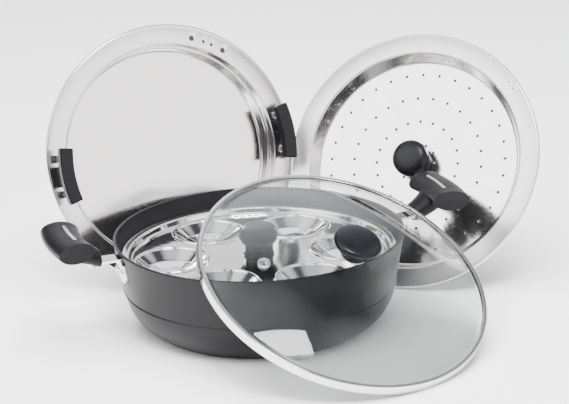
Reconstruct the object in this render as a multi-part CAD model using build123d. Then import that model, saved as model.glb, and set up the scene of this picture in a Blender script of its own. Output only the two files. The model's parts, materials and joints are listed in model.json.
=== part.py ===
from build123d import *
import math
import os

os.makedirs("parts", exist_ok=True)

# An idli steamer set: a wide two-handled pan with its idli plate in place, a glass lid
# that leans on the front of the pan, and two steel trays that stand behind it.
# Millimetres, +Z up. The origin is the centre of the pan's underside.
# From the front the view is along +Y, with +X to the right.

# Gaps and cuts
free_gap = 0.3  # between pieces that rest on each other and come apart
seat_gap = 0.5  # between the plate's round edge and the tapered wall
fit_gap = 0.1  # round a screw, insert or bracket in its hole
overrun = 2.0  # how far a cutter passes the face that it cuts

# Pan
pan_rim_radius = 140.0
pan_height = 88.5
pan_wall = 3.0
pan_bowl_height = 38.5  # from the underside up to the step in the wall
pan_step_drop = pan_height - pan_bowl_height
pan_wall_run = 8.8  # how far the wall tapers in from the rim to the step
pan_step_radius = pan_rim_radius - pan_wall_run
pan_step_width = 1.2
pan_bowl_bulge = 6.0
pan_bowl_run = 27.2  # from the step in to the edge of the base
pan_base_radius = pan_step_radius - pan_bowl_run
pan_base_round = 5.0
pan_rim_round = 0.9

# Pan handles, each a bar along the rim on a short neck, held by a bent bracket
handle_azimuths = {"handle_right": 18.0, "handle_left": 198.0}
bar_reach = 50.0  # from the rim out to the middle of the bar
bar_radius = pan_rim_radius + bar_reach
bar_rise = 16.0  # from the rim up to the middle of the bar
bar_length = 72.0
bar_width = 36.0
bar_thickness = 19.5
bar_end_dish = 1.2
neck_reach = 18.0  # from the rim out to the neck's end
neck_drop = 3.0  # from the rim down to the middle of the neck's end
neck_width = 25.0
neck_height = 17.0
neck_root_width = 34.0
neck_root_height = 22.0
stripe_length = 44.0
stripe_width = 3.2
stripe_depth = 1.2
stripe_proud = 0.3
stripe_inset = 4.0  # from the middle of the bar towards the pan
bracket_thickness = 2.0
bracket_drop = 5.0
bracket_height = 25.0
bracket_width = 26.0
bracket_corner = 7.0
arm_width = 18.0
arm_seat = 14.0  # length of the arm inside the neck
rivet_drop = 19.0
rivet_spacing = 14.0
rivet_head_radius = 4.2
rivet_head_height = 2.2
rivet_shank_radius = 2.4
handle_screw_head_radius = 3.6
handle_screw_head_height = 2.4
handle_screw_radius = 2.0
handle_screw_length = 12.0

# Sheet steel of the plate and the trays
sheet = 0.9
fold_radius = 2.2  # at the middle of the sheet where it bends
bead_proud = 0.7  # of a rolled edge, over the middle of the sheet

# Idli plate
plate_drop = 17.0  # from the pan's rim down to the top of the plate's edge
plate_edge_radius = 1.5
plate_flange = 7.6
plate_depth = 6.0  # from the edge down to the floor
plate_wall_run = 2.0  # how far the wall slopes in over that depth
cup_count = 6
cup_inset = 55.5  # from the pan's rim in to the middle of a cup
cup_ring_radius = pan_rim_radius - cup_inset
cup_turn = 5.5
cup_spacing = 14.5  # between the crests of two cups
cup_radius = cup_ring_radius * math.sin(math.pi / cup_count) - cup_spacing / 2
cup_lip = 2.6  # from the floor up to the crest
cup_lip_run = 1.6
cup_depth = 12.5  # from the floor down to the bottom of the cup
cup_floor_share = 12 / 35  # of the flat bottom in the cup's radius
cup_floor_radius = cup_radius * cup_floor_share
cup_drain_radius = 1.5
cup_drain_inset = 5.0
steam_inset = 23.5  # from the pan's rim in to the steam holes
steam_ring_radius = pan_rim_radius - steam_inset
steam_hole_radius = 2.4
steam_hole_pitch = 13.5
steam_hole_count = 4

# Knob of the plate and of the perforated tray
knob_height = 30.0
knob_cap_radius = 18.5
knob_cap_height = 18.5
knob_stem_radius = 14.0
knob_foot_radius = 15.0
knob_foot_height = 2.0
insert_radius = 4.0
insert_length = 12.0
screw_radius = 2.0
screw_length = 10.0
screw_head_radius = 4.0
screw_head_height = 2.6
washer_radius = 6.5
washer_thickness = 1.0

# Glass lid
lid_inset = 0.5  # of the lid's edge from the pan's rim, when the lid is on
lid_radius = pan_rim_radius - lid_inset
lid_glass_thickness = 3.5
lid_rise = 27.5  # from the glass edge's top up to the top of the dome
lid_dome_power = 2.6
lid_band_thickness = 0.8
lid_band_flange = 3.8
lid_dome_inset = 7.5  # of the dome's foot from the lid's edge
lid_band_ledge = 4.0
lid_band_height = 8.6
lid_vent_radius = 3.0
lid_vent_wall = 1.2
lid_vent_flange_radius = 6.0
lid_vent_flange = 0.8
lid_vent_across = -81.0
lid_vent_up = 28.5
lid_knob_radius = 23.0
lid_knob_height = 21.0
lid_knob_cap_height = 12.5
lid_knob_neck_radius = 11.2
lid_knob_foot_radius = 12.0
lid_knob_foot_height = 2.0
lid_gasket_radius = 12.0
lid_gasket_thickness = 1.2
lid_turn = 38.18  # azimuth that the lid's face turns to, from the front
lid_tilt = 61.89  # of the lid's axis above the table
lid_aside = 5.4  # of the lid's centre, along its level diameter

# Trays
tray_radius = 132.0
tray_bead_radius = 2.0
tray_rim = 19.9
solid_depth = 23.4
solid_ledge_depth = 10.0
solid_ledge_run = 1.6
solid_ledge = 2.2
solid_wall_run = 1.9
perforated_depth = 15.0
perforated_wall_run = 6.3
mark_inset = 12.0  # from the tray's edge in to the holes in its rim
mark_ring_radius = tray_radius - mark_inset
mark_small_radius = 1.9
mark_large_radius = 3.0
mark_small_spacing = 9.0
mark_large_spacing = 35.6
mark_angles = (62.5, 2.8, 182.8)
tray_grip_angles = {"tray_grip_right": 2.8, "tray_grip_left": 182.8}
tray_grip_length = 55.0
tray_grip_width = 13.5
tray_grip_thickness = 9.0
tray_grip_height = 27.0
tray_grip_inset = 1.0  # of the bar, from the ring of its screws
tray_grip_ring_radius = mark_ring_radius - tray_grip_inset
tray_grip_round = 1.6
tray_neck_length = 20.5
tray_neck_thickness = 7.5
tray_screw_radius = 1.7
tray_screw_head_radius = 3.4
tray_screw_head_height = 2.0
tray_screw_length = 14.0
tray_hole_radius = 1.6
rim_pair_inset = 7.6
rim_pair_radius = tray_radius - rim_pair_inset
rim_pair_spacing = 8.5
rim_pair_angles = (43.25, 223.25)

# Places of the trays: turn of the face from the front, tilt of the face's axis above the
# table, how far the centre lies along the level diameter, and the gap to the pan's side
solid_turn = 22.2
solid_tilt = 17.6
solid_aside = -25.3
solid_stand_off = 1.6
perforated_turn = -24.9
perforated_tilt = 30.1
perforated_aside = 90.3
perforated_stand_off = 1.0

# Rings of steam holes: shares of the tray's floor, how many holes, and where each starts
steam_ring_shares = (0.8762, 0.6427, 0.4093, 0.1843)
steam_ring_counts = (33, 26, 20, 11)
steam_ring_turns = (183.0, 196.0, 203.0, 70.9)

# Shares of the outlines, from the root of each form to its top
cap_outline_shares = ((0.84, 0.0), (1.0, 0.25), (1.0, 0.6), (0.8, 0.86))
lid_cap_outline_shares = ((0.66, 0.0), (1.0, 0.35), (1.0, 0.62), (0.86, 0.86))
cap_round_share = 0.16
dome_shares = (0.0, 0.2, 0.4, 0.55, 0.7, 0.82, 0.92, 1.0)
neck_mid_share = 0.42


def write(name, piece):
    """Write one piece, named for its file."""
    piece.label = name
    export_step(piece, os.path.join("parts", name + ".step"))


def drum(radius, low, high):
    """Round solid about the Z axis between two heights."""
    return Pos(0, 0, (low + high) / 2) * Cylinder(radius, high - low)


def spun(face):
    """Face in the XZ plane turned round the Z axis."""
    return revolve(face, Axis.Z)


def outline(points):
    """Closed straight-sided face in the XZ plane."""
    return make_face(Plane.XZ * Polyline(*points, close=True))


def facing(turn, tilt, aside, outward, height):
    """Place of a round piece that faces outward and up from the table."""
    azimuth = math.radians(turn)
    across = Vector(math.cos(azimuth), math.sin(azimuth), 0)
    front = Vector(math.sin(azimuth), -math.cos(azimuth), 0)
    up = Vector(0, 0, 1)
    axis = front * math.cos(math.radians(tilt)) + up * math.sin(math.radians(tilt))
    centre = across * aside + front * outward + up * height
    return Plane(origin=centre, x_dir=across, z_dir=axis)


def screw(head_radius, head_height, shank_radius, length):
    """Round-headed screw: head below Z = 0, shank above."""
    head = drum(head_radius, -head_height, 0)
    head = fillet(head.edges().group_by(Axis.Z)[0], head_height / 2)
    return head + drum(shank_radius, 0, length)


# Pan body


def wall_radius(drop):
    """Outer radius of the pan's upper wall, this far below the rim."""
    taper = (pan_rim_radius - pan_step_radius) / pan_step_drop
    return pan_rim_radius - taper * drop


def pan_solid(inset):
    """Pan's outer form, or its hollow where an inset is given."""
    top = pan_height + (overrun if inset else 0)
    step = pan_height - pan_step_drop
    rise = top - pan_height
    top_point = (wall_radius(-rise) - inset, top)
    step_point = (pan_step_radius - inset, step)
    bowl_point = (pan_step_radius - pan_step_width - inset, step - pan_step_width)
    base_point = (pan_base_radius - inset / 2, inset)
    line = Polyline((0, inset), base_point)
    line += SagittaArc(base_point, bowl_point, -pan_bowl_bulge)
    line += Polyline(bowl_point, step_point, top_point, (0, top), (0, inset))
    return spun(make_face(Plane.XZ * line))


def pan_body():
    """Pan without its handles: base, bowl, step and tapered wall."""
    outer = pan_solid(0)
    outer = fillet(outer.edges().group_by(Axis.Z)[0], pan_base_round)
    body = outer - pan_solid(pan_wall)
    return fillet(body.edges().group_by(Axis.Z)[-1], pan_rim_round)


# Pan handles, built towards +X and turned to their azimuths

wall_lean = math.degrees(math.atan2(pan_rim_radius - pan_step_radius, pan_step_drop))
bar_height = pan_height + bar_rise
neck_end = pan_rim_radius + neck_reach
arm_top = pan_height - bracket_drop
arm_end = neck_end + arm_seat
bar_half_turn = math.degrees(bar_length / bar_radius / 2)


def handle_bar():
    """Oval bar that follows the rim, with a shallow fold in each end face."""
    path = CenterArc((0, 0, bar_height), bar_radius, -bar_half_turn, 2 * bar_half_turn)
    section = Plane(origin=path @ 0, x_dir=(0, 0, 1), z_dir=path % 0)
    bar = sweep(section * Ellipse(bar_thickness / 2, bar_width / 2), path=path)
    for side in (1, -1):
        half = bar_thickness / 2
        fold = make_face(
            Plane.YZ * Polyline((0, half), (-side * bar_end_dish, 0), (0, -half), close=True)
        )
        fold = extrude(fold, amount=bar_width, both=True)
        end = Pos(bar_radius, 0, bar_height) * fold
        bar -= end.rotate(Axis.Z, side * bar_half_turn)
    return bar


def handle_neck():
    """Neck that swells from its end face up into the underside of the bar."""
    end = Vector(neck_end, 0, pan_height - neck_drop)
    root = Vector(bar_radius - bar_width / 8, 0, bar_height - bar_thickness / 8)
    run = root - end
    middle = end + Vector(run.X * neck_mid_share, 0, run.Z * neck_mid_share / 2)
    slope = math.degrees(math.atan2(run.Z, run.X))
    sizes = ((neck_width, neck_height), (neck_width, neck_height), (neck_root_width, neck_root_height))
    faces = []
    for place, tilt, (width, height) in zip((end, middle, root), (0, slope, 2 * slope), sizes):
        lean = math.radians(tilt)
        plane = Plane(origin=place, x_dir=(0, 1, 0), z_dir=(math.cos(lean), 0, math.sin(lean)))
        faces.append(plane * Ellipse(width / 2, height / 2))
    return loft(faces)


def handle_bracket():
    """Bent steel strip: a plate against the wall and an arm that enters the neck."""
    low = bracket_drop + bracket_height
    shell = outline(
        (
            (wall_radius(low), pan_height - low),
            (wall_radius(low) + bracket_thickness, pan_height - low),
            (wall_radius(bracket_drop) + bracket_thickness, arm_top),
            (wall_radius(bracket_drop), arm_top),
        )
    )
    shape = RectangleRounded(bracket_width, bracket_height, bracket_corner)
    face = Plane.YZ * Pos(0, arm_top - bracket_height / 2) * shape
    plate = spun(shell) & extrude(face, amount=neck_end)
    length = arm_end - wall_radius(bracket_drop)
    arm = Pos(arm_end - length / 2, 0, arm_top - bracket_thickness / 2) * Box(
        length, arm_width, bracket_thickness
    )
    clear_of_wall = drum(wall_radius(bracket_drop), arm_top - bracket_thickness, arm_top)
    return plate + (arm - clear_of_wall)


def rivet_places():
    """Places of the rivets on the wall's outer face, each facing straight out of it."""
    turn = math.degrees(rivet_spacing / wall_radius(rivet_drop) / 2)
    seat = Pos(wall_radius(rivet_drop), 0, pan_height - rivet_drop) * Rot(0, 90 + wall_lean, 0)
    return [Rot(0, 0, side * turn) * seat for side in (1, -1)]


def rivet_face():
    """Height of the bracket's outer face above the wall, at a rivet."""
    return bracket_thickness * math.cos(math.radians(wall_lean))


def rivet():
    """Domed rivet that ends flush with the inside of the wall."""
    face = rivet_face()
    head = drum(rivet_head_radius, face, face + rivet_head_height)
    head = fillet(head.edges().group_by(Axis.Z)[-1], rivet_head_height - fit_gap)
    return head + drum(rivet_shank_radius, -pan_wall, face)


screw_seat = arm_top - bracket_thickness - neck_height / 6
screw_place = Pos(neck_end + arm_seat / 2, 0, screw_seat)


def handle(name, azimuth, body):
    """Write one handle's pieces and return the pan's body with its rivet holes."""
    grip = handle_bar() + handle_neck()
    arm_room = Box(
        2 * arm_seat + 2 * fit_gap, arm_width + 2 * fit_gap, bracket_thickness + 2 * fit_gap
    )
    grip -= Pos(neck_end, 0, arm_top - bracket_thickness / 2) * arm_room
    head_room = drum(handle_screw_head_radius + fit_gap, -neck_height, 0)
    shank_room = drum(handle_screw_radius + fit_gap, 0, handle_screw_length + fit_gap)
    grip -= screw_place * (head_room + shank_room)

    offset = bar_radius - stripe_inset
    share = stripe_inset / (bar_width / 2)
    crown = bar_height + bar_thickness / 2 * math.sqrt(1 - share**2)
    stripe_half_turn = math.degrees(stripe_length / offset / 2)
    strip = Pos(offset, crown + (stripe_proud - stripe_depth) / 2) * Rectangle(
        stripe_width, stripe_depth + stripe_proud
    )
    strip = revolve(Plane.XZ * strip, Axis.Z, 2 * stripe_half_turn)
    strip = strip.rotate(Axis.Z, -stripe_half_turn)
    grip -= strip

    bracket = handle_bracket()
    bracket -= screw_place * drum(handle_screw_radius + fit_gap, 0, handle_screw_length)
    rivets = []
    for place in rivet_places():
        hole = place * drum(rivet_shank_radius + fit_gap, -pan_wall - overrun, pan_wall + overrun)
        bracket -= hole
        body -= hole.rotate(Axis.Z, azimuth)
        rivets.append((place * rivet()).rotate(Axis.Z, azimuth))

    fastener = screw_place * screw(
        handle_screw_head_radius, handle_screw_head_height, handle_screw_radius, handle_screw_length
    )
    write(name + "_grip", grip.rotate(Axis.Z, azimuth))
    write(name + "_stripe", strip.rotate(Axis.Z, azimuth))
    write(name + "_bracket", bracket.rotate(Axis.Z, azimuth))
    write(name + "_screw", fastener.rotate(Axis.Z, azimuth))
    write(name + "_rivets", Compound(children=rivets))
    return body


# Knob with its insert, washer and screw, on a floor whose top is Z = 0


def knob_body(radius, height, cap_height, shares, stem_radius, foot_radius, foot_height):
    """Moulded knob: a foot, a stem and a rounded cap."""
    cap_low = height - cap_height
    cap = [(radius * out, cap_low + cap_height * up) for out, up in shares]
    edge, edge_height = cap[-1]
    drop = height - edge_height
    crown_radius = (edge**2 + drop**2) / (2 * drop)
    half_turn = math.asin(edge / crown_radius) / 2
    crown = (
        crown_radius * math.sin(half_turn),
        height - crown_radius * (1 - math.cos(half_turn)),
    )
    stem = ((foot_radius, foot_height), (stem_radius, 2 * foot_height), (stem_radius, cap_low))
    line = Polyline((0, 0), (foot_radius, 0), *stem, cap[0])
    line += FilletPolyline(*cap, radius=radius * cap_round_share)
    line += ThreePointArc(cap[-1], crown, (0, height))
    line += Line((0, height), (0, 0))
    return spun(make_face(Plane.XZ * line))


def knob_pieces(name, place, solid, floor):
    """Write a knob, its insert, its washer and its screw through a floor of this thickness."""
    insert_room = drum(insert_radius, 0, insert_length)
    bore = drum(screw_radius + fit_gap, 0, screw_length + fit_gap)
    insert = insert_room - bore
    washer_top = -floor - fit_gap
    washer = drum(washer_radius, washer_top - washer_thickness, washer_top)
    washer -= drum(screw_radius + fit_gap, -overrun - floor - washer_thickness, 0)
    head_top = washer_top - washer_thickness
    fastener = Pos(0, 0, head_top) * screw(
        screw_head_radius, screw_head_height, screw_radius, screw_length - head_top
    )
    write(name, place * (solid - insert_room))
    write(name + "_insert", place * insert)
    write(name + "_washer", place * washer)
    write(name + "_screw", place * fastener)


def steamer_knob():
    """Knob that the plate and the perforated tray share."""
    return knob_body(
        knob_cap_radius,
        knob_height,
        knob_cap_height,
        cap_outline_shares,
        knob_stem_radius,
        knob_foot_radius,
        knob_foot_height,
    )


def sheet_round(points, radii, bead_radius=0):
    """Round sheet-metal piece from the middle line of its section, with any rolled edge."""
    section = trace(FilletPolyline(*points, radius=radii), sheet)
    if bead_radius:
        end, middle = points[-1]
        section += Pos(end, middle + bead_proud - bead_radius) * Circle(bead_radius)
    return spun(Plane.XZ * section)


def holes_on_ring(count, ring_radius, start, radius):
    """Through-cutters evenly round a ring."""
    reach = solid_depth + overrun
    cutters = []
    for index in range(count):
        angle = math.radians(start + 360 * index / count)
        place = Pos(ring_radius * math.cos(angle), ring_radius * math.sin(angle), 0)
        cutters.append(place * drum(radius, -reach, overrun))
    return cutters


def holes_on_arc(angle, ring_radius, spacings, radius):
    """Through-cutters on a ring, at these distances either way from one angle."""
    cutters = []
    for spacing in spacings:
        turn = angle + math.degrees(spacing / ring_radius)
        cutters += holes_on_ring(1, ring_radius, turn, radius)
    return cutters


# Idli plate

plate_top = pan_height - plate_drop
plate_seat_drop = plate_drop + plate_edge_radius
plate_radius = wall_radius(plate_seat_drop) - pan_wall - seat_gap / math.cos(math.radians(wall_lean))
plate_floor = plate_top - plate_depth
plate_place = Pos(0, 0, plate_floor)


def plate_cup():
    """One pressed cup with its raised lip, about the Z axis, floor top at Z = 0."""
    middle = -sheet / 2
    crest = cup_lip - sheet / 2
    bottom = -cup_depth
    outer = cup_radius + cup_lip_run
    inner = cup_radius - cup_lip_run
    points = (
        (outer + sheet, middle),
        (outer, middle),
        (cup_radius, crest),
        (inner, crest - cup_lip),
        ((inner + cup_floor_radius) / 2, (middle + 2 * bottom) / 3),
        (cup_floor_radius, bottom),
        (0, bottom),
    )
    wide = cup_floor_radius
    return sheet_round(points, (fold_radius / 2, fold_radius / 2, fold_radius, wide, wide))


def idli_plate():
    """Pressed plate with cups, steam holes and a rolled edge, floor top at Z = 0."""
    middle = plate_depth - sheet / 2
    edge = plate_radius - plate_edge_radius
    flange_end = plate_radius - plate_flange
    points = (
        (0, -sheet / 2),
        (flange_end - plate_wall_run, -sheet / 2),
        (flange_end, middle),
        (edge, middle),
    )
    plate = sheet_round(points, (fold_radius, fold_radius), plate_edge_radius)
    cup = plate_cup()
    room = drum(cup_radius + cup_lip_run + sheet / 2, -overrun, overrun)
    drain = Pos(cup_drain_inset - cup_radius, 0, 0) * drum(
        cup_drain_radius, -cup_depth - overrun, cup_lip + overrun
    )
    steps = [step - (steam_hole_count - 1) / 2 for step in range(steam_hole_count)]
    spacings = [steam_hole_pitch / 2 * step for step in steps]
    places = []
    holes = [drum(screw_radius + fit_gap, -overrun, overrun)]
    for index in range(cup_count):
        turn = cup_turn + 360 * index / cup_count
        angle = math.radians(turn)
        place = Pos(cup_ring_radius * math.cos(angle), cup_ring_radius * math.sin(angle), 0)
        places.append(place)
        holes.append(place * drain)
        between = turn + 180 / cup_count
        holes += holes_on_arc(between, steam_ring_radius, spacings, steam_hole_radius)
    plate -= [place * room for place in places]
    plate += [place * cup for place in places]
    return plate - holes


# Glass lid, in its own frame: the underside of the glass edge is Z = 0

lid_rim_low = -(lid_band_height - lid_glass_thickness - lid_band_thickness)
lid_rim_high = lid_glass_thickness + lid_band_thickness
dome_radius = lid_radius - lid_dome_inset


def dome_height(radius):
    """Height of the glass's outer face at a radius."""
    share = min(radius / dome_radius, 1)
    return lid_glass_thickness + lid_rise * (1 - share**lid_dome_power)


def lid_vent_plane():
    """Place of the vent on the dome's outer face, square to it."""
    radius = math.hypot(lid_vent_across, lid_vent_up)
    slope = lid_rise * lid_dome_power / dome_radius
    slope *= (radius / dome_radius) ** (lid_dome_power - 1)
    axis = Vector(slope * lid_vent_across / radius, slope * lid_vent_up / radius, 1)
    return Plane(origin=(lid_vent_across, lid_vent_up, dome_height(radius)), z_dir=axis)


def lid_glass():
    """Domed glass with a flat edge, a vent hole and a hole for the knob's screw."""
    edge = lid_radius - lid_band_thickness
    top = [(dome_radius * share, dome_height(dome_radius * share)) for share in dome_shares]
    under = [(out, up - lid_glass_thickness) for out, up in reversed(top)]
    line = Spline(*top, tangents=((1, 0), (1, -lid_rise * lid_dome_power / dome_radius)))
    line += Polyline(top[-1], (edge, lid_glass_thickness), (edge, 0), under[0])
    line += Spline(*under, tangents=((-1, lid_rise * lid_dome_power / dome_radius), (-1, 0)))
    line += Line(under[-1], top[0])
    glass = spun(make_face(Plane.XZ * line))
    reach = lid_glass_thickness + overrun
    glass -= lid_vent_plane() * drum(lid_vent_radius + lid_vent_wall + fit_gap, -reach, overrun)
    return glass - drum(screw_radius + fit_gap, 0, lid_rise + reach)


def lid_band():
    """Steel band round the glass: a flange over it, a wall outside and a ledge below."""
    inner = lid_radius - lid_band_thickness
    ledge = -lid_band_thickness
    flange = lid_radius - lid_band_flange
    section = outline(
        (
            (lid_radius, lid_rim_low),
            (lid_radius, lid_rim_high),
            (flange, lid_rim_high),
            (flange, lid_glass_thickness),
            (inner, lid_glass_thickness),
            (inner, 0),
            (inner - lid_band_ledge, 0),
            (inner - lid_band_ledge, ledge),
            (inner, ledge),
            (inner, lid_rim_low),
        )
    )
    band = spun(section)
    corner = band.edges().filter_by(GeomType.CIRCLE).group_by(Axis.Z)[-1].sort_by(SortBy.RADIUS)[-1]
    return fillet(corner, lid_band_thickness)


def lid_vent():
    """Steel eyelet in the vent hole, flanged on both faces of the glass."""
    low = -lid_glass_thickness
    tube = drum(lid_vent_radius + lid_vent_wall, low, 0)
    tube += drum(lid_vent_flange_radius, 0, lid_vent_flange)
    tube += drum(lid_vent_flange_radius, low - lid_vent_flange, low)
    return tube - drum(lid_vent_radius, low - overrun, overrun)


def lid_under(radius):
    """Height of the lid's lowest face at a radius."""
    if radius > lid_radius - lid_band_thickness - lid_band_ledge:
        return lid_rim_low
    return dome_height(radius) - lid_glass_thickness


def lid_gap(place):
    """Least gap, along the lid's axis, between the lid and the pan's rim."""
    gaps = []
    for step in range(720):
        angle = math.radians(step / 2)
        for rim in (pan_rim_radius, pan_rim_radius - pan_wall):
            point = place.to_local_coords(
                Vector(rim * math.cos(angle), rim * math.sin(angle), pan_height)
            )
            radius = math.hypot(point.X, point.Y)
            if radius < lid_radius + free_gap:
                gaps.append(lid_under(radius) - point.Z)
    return min(gaps, default=lid_radius)


def leaning_lid():
    """Place of the lid: its low edge on the table and its underside on the pan's rim."""
    tilt = math.radians(lid_tilt)
    height = lid_radius * math.cos(tilt) - lid_rim_low * math.sin(tilt) + free_gap
    near = 0
    far = pan_rim_radius + lid_radius
    for step in range(40):
        outward = (near + far) / 2
        if lid_gap(facing(lid_turn, lid_tilt, lid_aside, outward, height)) < free_gap:
            near = outward
        else:
            far = outward
    return facing(lid_turn, lid_tilt, lid_aside, far, height)


# Trays, each in its own frame: the rim's face is Z = 0 and the floor lies behind it

tray_rim_inner = tray_radius - tray_rim


def tray_sheet(points, radii):
    """Tray sheet with its rolled edge, from the middle line of the floor and wall."""
    edge = tray_radius - tray_bead_radius
    outer = ((tray_rim_inner, -sheet / 2), (edge, -sheet / 2))
    return sheet_round(points + outer, radii, tray_bead_radius)


def solid_tray():
    """Tray with a stepped wall and hole patterns in its rim."""
    floor = -solid_depth - sheet / 2
    ledge = -solid_ledge_depth
    ledge_outer = tray_rim_inner - solid_ledge_run
    ledge_inner = ledge_outer - solid_ledge
    points = (
        (0, floor),
        (ledge_inner - solid_wall_run, floor),
        (ledge_inner, ledge),
        (ledge_outer, ledge),
    )
    tray = tray_sheet(points, (fold_radius, fold_radius / 2, fold_radius / 2, fold_radius / 2))
    for angle in mark_angles:
        small = (mark_small_spacing / 2, -mark_small_spacing / 2)
        large = (mark_large_spacing / 2, -mark_large_spacing / 2)
        tray -= holes_on_arc(angle, mark_ring_radius, small, mark_small_radius)
        tray -= holes_on_arc(angle, mark_ring_radius, large, mark_large_radius)
    return tray


def pan_reach(slope):
    """How far back the pan's side reaches, at table level, along a line that leans back."""
    step = Vector(pan_step_radius, pan_height - pan_step_drop)
    base = Vector(pan_base_radius, 0)
    across = step - base
    bowl = (step + base) / 2 + Vector(across.Y, -across.X).normalized() * pan_bowl_bulge
    rim = Vector(pan_rim_radius, pan_height)
    return max(point.X - point.Y * slope for point in (rim, step, bowl, base))


def tray_stand(turn, tilt, aside, stand_off):
    """Place of a tray that stands on its edge behind the pan."""
    lean = math.radians(tilt)
    edge = tray_radius - tray_bead_radius
    height = edge * math.cos(lean) + tray_bead_radius * math.sin(lean) + tray_bead_radius + free_gap
    back = (stand_off + height * math.sin(lean)) / math.cos(lean)
    return facing(turn, tilt, aside, -pan_reach(math.tan(lean)) - back, height)


def tray_grip(name, angle, place):
    """Write one T-shaped grip, built towards +X, and the screws that hold it."""
    half_turn = math.degrees(tray_grip_length / tray_grip_ring_radius / 2)
    bar = Pos(tray_grip_ring_radius, tray_grip_height - tray_grip_thickness / 2) * Rectangle(
        tray_grip_width, tray_grip_thickness
    )
    bar = revolve(Plane.XZ * bar, Axis.Z, 2 * half_turn).rotate(Axis.Z, -half_turn)
    bar = fillet(bar.edges(), tray_grip_round)
    rise = tray_grip_height - tray_grip_thickness / 2
    neck = Pos(mark_ring_radius, 0, rise / 2) * Box(tray_neck_thickness, tray_neck_length, rise)
    neck = fillet(neck.edges().filter_by(Axis.Z), tray_grip_round)
    grip = bar + neck
    fasteners = []
    for side in (1, -1):
        turn = Rot(0, 0, side * math.degrees(mark_small_spacing / mark_ring_radius / 2))
        seat = turn * Pos(mark_ring_radius, 0, 0)
        grip -= seat * drum(tray_screw_radius, -overrun, tray_screw_length - sheet + fit_gap)
        fastener = Pos(0, 0, -sheet) * screw(
            tray_screw_head_radius, tray_screw_head_height, tray_screw_radius, tray_screw_length
        )
        fasteners.append(place * (seat * fastener).rotate(Axis.Z, angle))
    write(name, place * grip.rotate(Axis.Z, angle))
    write(name + "_screws", Compound(children=fasteners))


def perforated_tray():
    """Tray with rings of steam holes, rim hole pairs and a hole for the knob's screw."""
    floor = -perforated_depth - sheet / 2
    floor_radius = tray_rim_inner - perforated_wall_run
    points = ((0, floor), (floor_radius, floor))
    tray = tray_sheet(points, (fold_radius, fold_radius))
    for share, count, turn in zip(steam_ring_shares, steam_ring_counts, steam_ring_turns):
        tray -= holes_on_ring(count, floor_radius * share, turn, tray_hole_radius)
    for angle in rim_pair_angles:
        pair = (rim_pair_spacing / 2, -rim_pair_spacing / 2)
        tray -= holes_on_arc(angle, rim_pair_radius, pair, tray_hole_radius)
    return tray - drum(screw_radius + fit_gap, -perforated_depth - overrun, 0)


# Assembly

pan = pan_body()
for handle_name, handle_azimuth in handle_azimuths.items():
    pan = handle(handle_name, handle_azimuth, pan)
write("pan_body", pan)

write("idli_plate", plate_place * idli_plate())
knob_pieces("plate_knob", plate_place, steamer_knob(), sheet)

lid_place = leaning_lid().location
write("lid_glass", lid_place * lid_glass())
write("lid_band", lid_place * lid_band())
write("lid_vent", lid_place * (lid_vent_plane().location * lid_vent()))
lid_top = lid_place * Pos(0, 0, dome_height(0))
gasket_hole = drum(screw_radius + fit_gap, -overrun, lid_gasket_thickness + overrun)
write("lid_gasket", lid_top * (drum(lid_gasket_radius, 0, lid_gasket_thickness) - gasket_hole))
lid_knob_solid = knob_body(
    lid_knob_radius,
    lid_knob_height,
    lid_knob_cap_height,
    lid_cap_outline_shares,
    lid_knob_neck_radius,
    lid_knob_foot_radius,
    lid_knob_foot_height,
)
knob_pieces(
    "lid_knob",
    lid_top * Pos(0, 0, lid_gasket_thickness),
    lid_knob_solid,
    lid_glass_thickness + lid_gasket_thickness,
)

solid_place = tray_stand(solid_turn, solid_tilt, solid_aside, solid_stand_off).location
write("solid_tray", solid_place * solid_tray())
for grip_name, grip_angle in tray_grip_angles.items():
    tray_grip(grip_name, grip_angle, solid_place)

perforated_place = tray_stand(
    perforated_turn, perforated_tilt, perforated_aside, perforated_stand_off
).location
write("perforated_tray", perforated_place * perforated_tray())
tray_floor = perforated_place * Pos(0, 0, -perforated_depth)
knob_pieces("tray_knob", tray_floor, steamer_knob(), sheet)
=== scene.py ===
"""Dresses the packed idli steamer set: pan with its plate, leaning glass lid and two trays."""

import json
import math

import bmesh
import bpy
from mathutils import Matrix, Vector


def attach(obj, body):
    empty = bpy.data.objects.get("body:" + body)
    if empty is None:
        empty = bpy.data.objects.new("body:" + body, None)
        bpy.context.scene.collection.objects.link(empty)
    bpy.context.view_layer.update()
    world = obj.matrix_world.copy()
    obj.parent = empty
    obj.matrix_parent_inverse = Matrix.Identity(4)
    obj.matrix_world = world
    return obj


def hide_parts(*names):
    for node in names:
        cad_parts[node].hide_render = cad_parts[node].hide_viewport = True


bl_info = {
    "name": "Idli steamer set",
    "version": (1, 0, 0),
    "blender": (4, 5, 0),
    "location": "3D View > Sidebar > Steamer",
    "description": "Builds a steamer pan, its plate, its lid and its trays round a packed frame",
    "category": "Add Mesh",
}

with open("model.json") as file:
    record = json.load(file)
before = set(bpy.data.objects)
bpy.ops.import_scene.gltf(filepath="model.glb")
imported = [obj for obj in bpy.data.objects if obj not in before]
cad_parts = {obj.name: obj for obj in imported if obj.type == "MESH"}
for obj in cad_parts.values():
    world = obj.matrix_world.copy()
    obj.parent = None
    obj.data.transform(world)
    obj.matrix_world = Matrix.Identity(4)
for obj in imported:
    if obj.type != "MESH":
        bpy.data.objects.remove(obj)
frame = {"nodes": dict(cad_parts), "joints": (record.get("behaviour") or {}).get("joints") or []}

TURN = 2 * math.pi
ROUND_STEPS = 8  # points in each rounded corner of an outline
SMOOTH_ANGLE = math.radians(32)
HOLE_SIDES = 28
WORLD = Matrix.Identity(4)


def reach(node, direction):
    """Lowest and highest place of a packed node along a direction."""
    places = [vertex.co.dot(direction) for vertex in frame["nodes"][node].data.vertices]
    return min(places), max(places)


def span(node, direction):
    """Length of a packed node along a direction."""
    low, high = reach(node, direction)
    return high - low


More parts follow.
